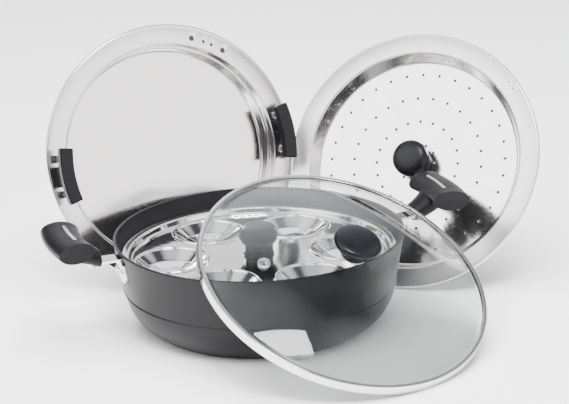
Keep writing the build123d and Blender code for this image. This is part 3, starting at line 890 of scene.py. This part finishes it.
def grip_forms(sizes):
    """Bar and neck of one grip, built towards +X."""
    bar_height = PAN_HEIGHT + sizes.bar_rise
    extra = sizes.bar_thickness / 4
    half_turn = (sizes.bar_length / 2 + extra) / sizes.bar_radius
    rings = []
    steps = 3 * ROUND_STEPS
    for step in range(steps + 1):
        bearing = half_turn * (2 * step / steps - 1)
        out = Vector((math.cos(bearing), math.sin(bearing), 0))
        centre = out * sizes.bar_radius + Z_AXIS * bar_height
        rings.append(
            ellipse_ring(centre, -out, Z_AXIS, sizes.bar_width / 2, sizes.bar_thickness / 2)
        )
    bar = lofted("grip_bar", rings, WORLD)
    end = Vector((PAN_RADIUS + sizes.neck_reach, 0, PAN_HEIGHT - sizes.neck_drop))
    root = Vector(
        (sizes.bar_radius - sizes.bar_width / 8, 0, bar_height - sizes.bar_thickness / 8)
    )
    run = root - end
    middle = end + Vector((run.x * sizes.middle, 0, run.z * sizes.middle / 2))
    slope = math.atan2(run.z, run.x)
    rings = []
    for step in range(2 * ROUND_STEPS + 1):
        along = step / (2 * ROUND_STEPS)
        centre = end * (1 - along) ** 2 + middle * 2 * along * (1 - along) + root * along**2
        lean = 2 * slope * along
        rise = Vector((-math.sin(lean), 0, math.cos(lean)))
        swell = along**2 * (3 - 2 * along)
        width = sizes.neck_width + (sizes.root_width - sizes.neck_width) * swell
        height = sizes.neck_height + (sizes.root_height - sizes.neck_height) * swell
        rings.append(ellipse_ring(centre, Y_AXIS, rise, width / 2, height / 2))
    neck = lofted("grip_neck", rings, WORLD)
    return [bar, neck]


def end_cutters(sizes):
    """Blocks that cut a shallow fold into each end of the bar."""
    bar_height = PAN_HEIGHT + sizes.bar_rise
    half_turn = sizes.bar_length / sizes.bar_radius / 2
    cutters = []
    for side in (1, -1):
        place = Matrix.Rotation(side * half_turn, 4, "Z") @ Matrix.Translation(
            (sizes.bar_radius, 0, bar_height)
        )
        tall = sizes.bar_thickness
        wide = sizes.bar_width
        fold = -side * sizes.end_dish
        far = side * sizes.bar_thickness
        section = [(0, tall), (fold, 0), (0, -tall), (far, -tall), (far, tall)]
        rings = [[place @ Vector((x, y, z)) for y, z in section] for x in (-wide, wide)]
        cutters.append(lofted("grip_end", rings, WORLD))
    made = join("grip_ends", cutters)
    make_outward(made)
    return made


def make_outward(piece):
    """Turn all faces outward."""
    mesh = bmesh.new()
    mesh.from_mesh(piece.data)
    bmesh.ops.recalc_face_normals(mesh, faces=mesh.faces)
    mesh.to_mesh(piece.data)
    mesh.free()


class STEAMER_OT_handles(bpy.types.Operator):
    """Build the pan's two grips"""

    bl_idname = "steamer.handles"
    bl_label = "Pan handles"

    def execute(self, context):
        sizes = context.scene.steamer_handles
        for side, turn in (("right", 0), ("left", math.pi)):
            forms = grip_forms(sizes)
            for form in forms:
                make_outward(form)
            grip = moulded(side + "_grip", forms, sizes.voxel, sizes.blend)
            combine(grip, end_cutters(sizes))
            grip.data.transform(Matrix.Rotation(sizes.azimuth + turn, 4, "Z"))
            finished(grip, "pan", "grip_plastic", [f"handle_{side}_grip"])
        return {"FINISHED"}


class STEAMER_OT_plate(bpy.types.Operator):
    """Build the idli plate with its cups and holes"""

    bl_idname = "steamer.plate"
    bl_label = "Idli plate"

    def execute(self, context):
        sizes = context.scene.steamer_plate
        sheet = context.scene.steamer_sheet
        thick = sheet.thickness
        crest = sheet.bead_proud - thick / 2
        place = Matrix.Translation((0, 0, PLATE_TOP - crest - sizes.depth))
        middle = sizes.depth - thick / 2
        flange_end = PLATE_RADIUS - sizes.flange
        points = [
            (0, -thick / 2),
            (flange_end - sizes.wall_run, -thick / 2),
            (flange_end, middle),
            (PLATE_RADIUS - sizes.edge_radius, middle),
        ]
        outline = sheet_outline(
            points, [sheet.bend] * 2, thick, sheet.bead_proud, sizes.edge_radius
        )
        plate = spun("plate_sheet", outline, place, sheet.turns)
        outer = sizes.cup_radius + sizes.cup_lip_run
        inner = sizes.cup_radius - sizes.cup_lip_run
        low = -thick / 2
        top = sizes.cup_lip - thick / 2
        bottom = -sizes.cup_depth
        cup_line = rounded(
            [
                (outer + thick, low),
                (outer, low),
                (sizes.cup_radius, top),
                (inner, top - sizes.cup_lip),
                ((inner + sizes.cup_floor) / 2, (low + 2 * bottom) / 3),
                (sizes.cup_floor, bottom),
                (0, bottom),
            ],
            [sheet.bend / 2, sheet.bend / 2, sheet.bend, sizes.cup_floor, sizes.cup_floor],
        )
        face = beside(cup_line[::-1], thick / 2)
        back = beside(cup_line[::-1], -thick / 2)
        rooms, cups, holes = [], [], []
        for index in range(sizes.cups):
            bearing = sizes.turn + TURN * index / sizes.cups
            centre = Matrix.Translation(
                (sizes.ring_radius * math.cos(bearing), sizes.ring_radius * math.sin(bearing), 0)
            )
            room = [(0, -3 * thick), (outer + thick, -3 * thick), (outer + thick, thick), (0, thick)]
            rooms.append(spun("cup_room", room, place, sheet.turns // 2))
            rooms[-1].data.transform(centre)
            cup = spun("cup", face + back[::-1], place, sheet.turns // 2)
            drain = Matrix.Translation((sizes.drain_inset - sizes.cup_radius, 0, 0))
            drain = pins("drain", [(drain, sizes.drain_radius, 2 * bottom, -2 * bottom)], place)
            combine(cup, drain)
            cup.data.transform(centre)
            cups.append(cup)
            half = (sizes.steam_holes - 1) / 2
            between = bearing + TURN / sizes.cups / 2
            for step in range(sizes.steam_holes):
                turn = (step - half) * sizes.steam_pitch / 2 / sizes.steam_ring
                seat = on_ring(sizes.steam_ring, between + turn)
                holes.append((seat, sizes.steam_radius, -sheet.overrun, sheet.overrun))
        combine(plate, join("cup_rooms", rooms))
        combine(plate, pins("steam_holes", holes, place))
        plate = smooth(join("plate_pressing", [plate] + cups))
        finished(plate, "idli_plate_body", "mirror_steel", ["idli_plate"])
        return {"FINISHED"}


def knob_outline(radius, height, shares):
    """Section of a knob from its foot to its crown, as shares of its radius and height."""
    points = [Vector((radius * out, height * up)) for out, up in shares]
    crown = Vector((-points[-2].x, points[-2].y))
    line = [tuple(point) for point in points[:2]]
    for index in range(2, len(points) - 1):
        before, here, there = points[index - 1 : index + 2]
        after = points[index + 2] if index + 2 < len(points) else crown
        if index == 2:
            before = here
        for step in range(ROUND_STEPS):
            t = step / ROUND_STEPS
            point = (
                here * 2
                + (there - before) * t
                + (before * 2 - here * 5 + there * 4 - after) * t**2
                + (here * 3 - before - there * 3 + after) * t**3
            ) / 2
            line.append(tuple(point))
    return line + [(0.0, height)]


class STEAMER_OT_knobs(bpy.types.Operator):
    """Build the knobs of the plate, the perforated tray and the lid"""

    bl_idname = "steamer.knobs"
    bl_label = "Knobs"

    def execute(self, context):
        sizes = context.scene.steamer_knobs
        sheet = context.scene.steamer_sheet
        trays = context.scene.steamer_trays
        lid = context.scene.steamer_lid
        crest = sheet.bead_proud - sheet.thickness / 2
        outline = knob_outline(sizes.radius, sizes.height, KNOB_SHARES)
        floor = PLATE_TOP - crest - context.scene.steamer_plate.depth
        plate_knob = spun("plate_cap", outline, Matrix.Translation((0, 0, floor)), sizes.turns)
        finished(plate_knob, "idli_plate_body", "knob_plastic", ["plate_knob"])
        place = tray_place("perforated_tray", "perforated_tray_lift", crest)
        place = place @ Matrix.Translation((0, 0, -trays.perforated_depth))
        tray_knob = spun("tray_cap", outline, place, sizes.turns)
        finished(tray_knob, "perforated_tray_body", "knob_plastic", ["tray_knob"])
        outline = knob_outline(sizes.lid_radius, sizes.lid_height, LID_KNOB_SHARES)
        low = -(lid.band_height - lid.glass - lid.band)
        top = lid.glass + lid.rise + lid.gasket
        place = lid_place(low) @ Matrix.Translation((0, 0, top))
        lid_knob = spun("lid_cap", outline, place, sizes.turns)
        finished(lid_knob, "lid", "lid_knob_plastic", ["lid_knob"])
        return {"FINISHED"}


def dome(sizes, radius):
    """Height of the glass's outer face at a radius."""
    edge = sizes.radius - sizes.inset
    return sizes.glass + sizes.rise * (1 - min(radius / edge, 1) ** sizes.power)


class STEAMER_OT_lid(bpy.types.Operator):
    """Build the lid's glass, steel band and vent"""

    bl_idname = "steamer.lid"
    bl_label = "Lid"

    def execute(self, context):
        sizes = context.scene.steamer_lid
        turns = context.scene.steamer_pan.turns
        low = -(sizes.band_height - sizes.glass - sizes.band)
        place = lid_place(low)
        edge = sizes.radius - sizes.inset
        outer = sizes.radius - sizes.band
        flange = sizes.radius - sizes.flange
        radii = [edge * math.sin(math.pi / 2 * step / DOME_STEPS) for step in range(DOME_STEPS + 1)]
        top = [(radius, dome(sizes, radius)) for radius in radii]
        under = [(radius, height - sizes.glass) for radius, height in top]
        outline = top + [(outer, sizes.glass), (outer, 0)] + under[::-1]
        glass = spun("lid_dome", outline, place, turns)
        vent_radius = math.hypot(sizes.vent_across, sizes.vent_up)
        slope = sizes.rise * sizes.power / edge * (vent_radius / edge) ** (sizes.power - 1)
        axis = Vector(
            (slope * sizes.vent_across / vent_radius, slope * sizes.vent_up / vent_radius, 1)
        )
        seat = Matrix.Translation((sizes.vent_across, sizes.vent_up, dome(sizes, vent_radius)))
        seat = seat @ axis.to_track_quat("Z", "Y").to_matrix().to_4x4()
        bore = sizes.vent_radius + sizes.vent_wall
        combine(glass, pins("vent_hole", [(seat, bore, -2 * sizes.glass, sizes.glass)], place))
        finished(glass, "lid", "clear_glass", ["lid_glass"])

        ledge = outer - sizes.ledge
        high = sizes.glass + sizes.band
        thin = sizes.band / 3
        outline = rounded(
            [
                (outer, low / 2),
                (outer, low),
                (sizes.radius, low),
                (sizes.radius, high),
                (flange, high),
                (flange, sizes.glass),
                (outer, sizes.glass),
                (outer, 0),
                (ledge, 0),
                (ledge, -sizes.band),
                (outer, -sizes.band),
                (outer, low / 2 - thin),
            ],
            [thin, thin, sizes.band * 1.6, thin, 0, 0, 0, thin, thin, thin],
        )
        band = spun("lid_ring", outline, place, turns)
        finished(band, "lid", "band_steel", ["lid_band"])

        lip = sizes.vent_lip
        far = -sizes.glass
        outline = rounded(
            [
                (sizes.vent_radius, 0),
                (sizes.vent_radius, lip),
                (sizes.vent_flange, lip),
                (sizes.vent_flange, 0),
                (bore, 0),
                (bore, far),
                (sizes.vent_flange, far),
                (sizes.vent_flange, far - lip),
                (sizes.vent_radius, far - lip),
                (sizes.vent_radius, far),
            ],
            [lip * 0.6, lip * 0.9, 0, 0, 0, 0, lip * 0.9, lip * 0.6],
        )
        vent = spun("lid_eyelet", outline, place @ seat, turns // 3)
        finished(vent, "lid", "fastener_steel", ["lid_vent"])
        return {"FINISHED"}


def arc_holes(ring, bearing, spacings, radius, low, high):
    """Seats of holes on a ring, at distances either way from one angle."""
    return [
        (on_ring(ring, bearing + spacing / ring), radius, low, high) for spacing in spacings
    ]


class STEAMER_OT_trays(bpy.types.Operator):
    """Build the solid and the perforated tray"""

    bl_idname = "steamer.trays"
    bl_label = "Trays"

    def execute(self, context):
        sizes = context.scene.steamer_trays
        sheet = context.scene.steamer_sheet
        thick = sheet.thickness
        bend = sheet.bend
        crest = sheet.bead_proud - thick / 2
        inner = sizes.radius - sizes.rim
        rim = [(inner, -thick / 2), (sizes.radius - sizes.bead, -thick / 2)]

        place = tray_place("solid_tray", "solid_tray_lift", crest)
        floor = -sizes.solid_depth - thick / 2
        ledge_outer = inner - sizes.ledge_run
        ledge_inner = ledge_outer - sizes.ledge
        points = [
            (0, floor),
            (ledge_inner - sizes.wall_run, floor),
            (ledge_inner, -sizes.ledge_depth),
            (ledge_outer, -sizes.ledge_depth),
        ]
        radii = [bend, bend / 2, bend / 2, bend / 2]
        outline = sheet_outline(points + rim, radii, thick, sheet.bead_proud, sizes.bead)
        tray = spun("solid_tray_sheet", outline, place, sheet.turns)
        seats = []
        for degrees in MARK_ANGLES:
            for spacing, radius in (
                (sizes.small_spacing, sizes.mark_small),
                (sizes.large_spacing, sizes.mark_large),
            ):
                seats += arc_holes(
                    sizes.mark_ring,
                    math.radians(degrees),
                    (spacing / 2, -spacing / 2),
                    radius,
                    -sheet.overrun,
                    sheet.overrun,
                )
        combine(tray, pins("mark_holes", seats, place))
        finished(tray, "solid_tray_body", "mirror_steel", ["solid_tray"], "solid_tray_steel")

        place = tray_place("perforated_tray", "perforated_tray_lift", crest)
        floor = -sizes.perforated_depth - thick / 2
        points = [(0, floor), (inner - sizes.perforated_run, floor)]
        outline = sheet_outline(points + rim, [bend] * 2, thick, sheet.bead_proud, sizes.bead)
        tray = spun("perforated_tray_sheet", outline, place, sheet.turns)
        low = -sizes.perforated_depth - sheet.overrun
        seats = []
        for ring, holes, start in STEAM_RINGS:
            for index in range(holes):
                bearing = math.radians(start + 360 * index / holes)
                seats.append((on_ring(ring, bearing), sizes.hole_radius, low, 0))
        for degrees in RIM_PAIR_ANGLES:
            pair = (sizes.pair_spacing / 2, -sizes.pair_spacing / 2)
            seats += arc_holes(
                sizes.pair_ring,
                math.radians(degrees),
                pair,
                sizes.hole_radius,
                -sheet.overrun,
                sheet.overrun,
            )
        combine(tray, pins("steam_holes", seats, place))
        finished(
            tray, "perforated_tray_body", "mirror_steel", ["perforated_tray"], "perforated_tray_steel"
        )
        return {"FINISHED"}


class STEAMER_OT_tray_grips(bpy.types.Operator):
    """Build the two T-shaped grips of the solid tray"""

    bl_idname = "steamer.tray_grips"
    bl_label = "Tray grips"

    def execute(self, context):
        sizes = context.scene.steamer_tray_grips
        sheet = context.scene.steamer_sheet
        crest = sheet.bead_proud - sheet.thickness / 2
        place = tray_place("solid_tray", "solid_tray_lift", crest)
        half_turn = sizes.span / sizes.ring / 2
        low, high = sizes.height - sizes.thickness, sizes.height
        steps = 3 * ROUND_STEPS
        for side, turn in (("right", 0), ("left", math.pi)):
            rings = []
            for step in range(steps + 1):
                bearing = half_turn * (2 * step / steps - 1)
                out = Vector((math.cos(bearing), math.sin(bearing), 0))
                near, far = sizes.ring - sizes.width / 2, sizes.ring + sizes.width / 2
                section = ((near, low), (far, low), (far, high), (near, high))
                rings.append([out * radius + Z_AXIS * level for radius, level in section])
            bar = lofted("tray_bar", rings, WORLD)
            half = sizes.neck_thickness / 2
            wide = sizes.neck_length / 2
            rings = []
            for step in range(ROUND_STEPS + 1):
                level = (low + sizes.thickness / 2) * step / ROUND_STEPS
                flare = 1 + NECK_FLARE * (step / ROUND_STEPS) ** 2
                rings.append(
                    [
                        Vector((sizes.neck_ring + x * half, y * wide * flare, level))
                        for x, y in ((-1, -1), (1, -1), (1, 1), (-1, 1))
                    ]
                )
            neck = lofted("tray_neck", rings, WORLD)
            for form in (bar, neck):
                make_outward(form)
            grip = moulded(side + "_tray_grip", [bar, neck], sizes.voxel, sizes.blend)
            grip.data.transform(Matrix.Rotation(sizes.azimuth + turn, 4, "Z"))
            grip.matrix_world = place
            smooth(grip)
            finished(grip, "solid_tray_body", "knob_plastic", [f"tray_grip_{side}"])
        return {"FINISHED"}


class STEAMER_OT_fittings(bpy.types.Operator):
    """Give the fasteners, brackets and trim their materials"""

    bl_idname = "steamer.fittings"
    bl_label = "Fittings"

    def execute(self, context):
        finishes = {
            "stripe": "chrome_trim",
            "bracket": "polished_bracket",
            "rivets": "fastener_steel",
            "screw": "fastener_steel",
            "screws": "fastener_steel",
            "washer": "fastener_steel",
            "insert": "brass_insert",
            "gasket": "silicone",
        }
        for name, node in frame["nodes"].items():
            if node.hide_render:
                continue
            kind = name.rsplit("_", 1)[-1]
            node.data.materials.clear()
            node.data.materials.append(FINISH[finishes[kind]])
            smooth(node)
        return {"FINISHED"}


def set_against(nodes, links, kind, first, second):
    """Vector node that sets a pattern against a fixed vector."""
    made = nodes.new("ShaderNodeVectorMath")
    made.operation = kind
    links.new(first, made.inputs[0])
    made.inputs[1].default_value = second
    return made


def painted_shade_behind(nodes, links, eye, seat, radius):
    """Painted shade in the floor's colour behind a leaning tray, along the lines of sight from the
    eye.
    """
    centre = seat.translation - eye
    out = seat.col[2].to_3d()
    ray = set_against(nodes, links, "SUBTRACT", place_node(nodes), eye).outputs["Vector"]
    depth = set_against(nodes, links, "DOT_PRODUCT", ray, out).outputs["Value"]
    part = nodes.new("ShaderNodeMath")
    part.operation = "DIVIDE"
    part.inputs[0].default_value = centre.dot(out)
    links.new(depth, part.inputs[1])
    hit = nodes.new("ShaderNodeVectorMath")
    hit.operation = "SCALE"
    links.new(ray, hit.inputs[0])
    links.new(part.outputs["Value"], hit.inputs["Scale"])
    off = set_against(nodes, links, "DISTANCE", hit.outputs["Vector"], centre).outputs["Value"]
    both = nodes.new("ShaderNodeMath")
    both.operation = "MULTIPLY"
    links.new(
        spread(nodes, links, off, 1, 0, radius * SHADE_FULL, radius * SHADE_END), both.inputs[0]
    )
    links.new(
        spread(nodes, links, part.outputs["Value"], 1, 0, SHADE_END, 1), both.inputs[1]
    )
    return both.outputs["Value"]


class STEAMER_OT_stage(bpy.types.Operator):
    """Build the floor, the lights and the camera"""

    bl_idname = "steamer.stage"
    bl_label = "Floor, lights and camera"

    def execute(self, context):
        sizes = context.scene.steamer_stage
        half = sizes.floor
        floor = add_object(
            "floor",
            [(-half, -half, 0), (half, -half, 0), (half, half, 0), (-half, half, 0)],
            [(0, 1, 2, 3)],
            WORLD,
        )
        material, nodes, links, face = shader("pale_floor", tuple(sizes.floor_colour), 0, 0.6)
        face.inputs["Specular IOR Level"].default_value = 0.2
        pale = noise(nodes, links, 3, 2)
        tint(nodes, links, face, tuple(sizes.floor_colour), pale, 0.01)
        eye = Vector((0, -sizes.depth, sizes.height))
        # Painted shade: the floor's colour is darkened behind each tray, where the camera looks
        # through its holes and past it
        for tray in ("solid_tray", "perforated_tray"):
            seat = tray_place(tray, tray + "_lift", 0)
            radius = context.scene.steamer_trays.radius
            shaded = nodes.new("ShaderNodeMix")
            shaded.data_type = "RGBA"
            shaded.inputs["B"].default_value = (*PAINTED_SHADE_COLOUR, 1)
            links.new(face.inputs["Base Color"].links[0].from_socket, shaded.inputs["A"])
            links.new(painted_shade_behind(nodes, links, eye, seat, radius), shaded.inputs["Factor"])
            links.new(shaded.outputs["Result"], face.inputs["Base Color"])
        floor.data.materials.append(material)

        world = bpy.data.worlds.new("soft_studio")
        context.scene.world = world
        world.use_nodes = True
        nodes, links = world.node_tree.nodes, world.node_tree.links
        sky = nodes["Background"]
        sky.inputs["Strength"].default_value = sizes.sky
        way = nodes.new("ShaderNodeVectorMath")
        way.operation = "NORMALIZE"
        links.new(nodes.new("ShaderNodeTexCoord").outputs["Generated"], way.inputs[0])
        shade = None
        for azimuth, elevation, inner, outer, grey in STUDIO_CARDS:
            toward = nodes.new("ShaderNodeVectorMath")
            toward.operation = "DOT_PRODUCT"
            toward.inputs[1].default_value = heading(azimuth, elevation)
            links.new(way.outputs["Vector"], toward.inputs[0])
            near, far = math.cos(math.radians(inner)), math.cos(math.radians(outer))
            card = nodes.new("ShaderNodeMix")
            card.data_type = "RGBA"
            card.inputs["A"].default_value = (*STUDIO_DARK, 1)
            card.inputs["B"].default_value = (*grey, 1)
            if shade:
                links.new(shade, card.inputs["A"])
            amount_here = spread(nodes, links, toward.outputs["Value"], 0, 1, far, near)
            links.new(amount_here, card.inputs["Factor"])
            shade = card.outputs["Result"]
        links.new(shade, sky.inputs["Color"])

        for name, azimuth, elevation, distance, width, height, energy, seen in STUDIO_LIGHTS:
            light = bpy.data.lights.new(name, "AREA")
            light.shape = "RECTANGLE"
            light.energy = energy
            light.size = width
            light.size_y = height
            lamp = bpy.data.objects.new(name, light)
            context.scene.collection.objects.link(lamp)
            out = heading(azimuth, elevation)
            lamp.location = out * distance
            lamp.rotation_euler = out.to_track_quat("Z", "Y").to_euler()
            lamp.visible_glossy = seen
            lamp.visible_transmission = seen

        camera = bpy.data.cameras.new("camera")
        camera.lens = sizes.lens
        camera.sensor_width = SENSOR_WIDTH
        camera.sensor_fit = "HORIZONTAL"
        camera.clip_end = FAR_LIMIT
        view = bpy.data.objects.new("camera", camera)
        context.scene.collection.objects.link(view)
        view.matrix_world = (
            Matrix.Translation((0, -sizes.depth, sizes.height))
            @ Matrix.Rotation(sizes.azimuth, 4, "Z")
            @ Matrix.Rotation(math.pi / 2 - sizes.elevation, 4, "X")
            @ Matrix.Rotation(sizes.roll, 4, "Z")
        )
        context.scene.camera = view
        return {"FINISHED"}


OPERATORS = (
    STEAMER_OT_finishes,
    STEAMER_OT_pan,
    STEAMER_OT_handles,
    STEAMER_OT_plate,
    STEAMER_OT_knobs,
    STEAMER_OT_lid,
    STEAMER_OT_trays,
    STEAMER_OT_tray_grips,
    STEAMER_OT_fittings,
    STEAMER_OT_stage,
)


class STEAMER_PT_panel(bpy.types.Panel):
    """Lists the pieces and their sizes"""

    bl_label = "Idli steamer set"
    bl_idname = "STEAMER_PT_panel"
    bl_space_type = "VIEW_3D"
    bl_region_type = "UI"
    bl_category = "Steamer"

    def draw(self, context):
        for operator in OPERATORS:
            self.layout.operator(operator.bl_idname)
        for name, group in GROUPS.items():
            box = self.layout.box()
            box.label(text=group.__doc__)
            for size in group.__annotations__:
                box.prop(getattr(context.scene, name), size)


def register():
    """Register the classes and hang the sizes on the scene."""
    for group in GROUPS.values():
        bpy.utils.register_class(group)
    for operator in OPERATORS:
        bpy.utils.register_class(operator)
    bpy.utils.register_class(STEAMER_PT_panel)
    for name, group in GROUPS.items():
        setattr(bpy.types.Scene, name, bpy.props.PointerProperty(type=group))


def unregister():
    """Take the classes and sizes away again."""
    for name in GROUPS:
        delattr(bpy.types.Scene, name)
    bpy.utils.unregister_class(STEAMER_PT_panel)
    for operator in reversed(OPERATORS):
        bpy.utils.unregister_class(operator)
    for group in reversed(list(GROUPS.values())):
        bpy.utils.unregister_class(group)


def main():
    """Register the classes and build everything."""
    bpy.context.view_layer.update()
    register()
    for operator in OPERATORS:
        family, name = operator.bl_idname.split(".")
        getattr(getattr(bpy.ops, family), name)()


if __name__ == "__main__":
    main()
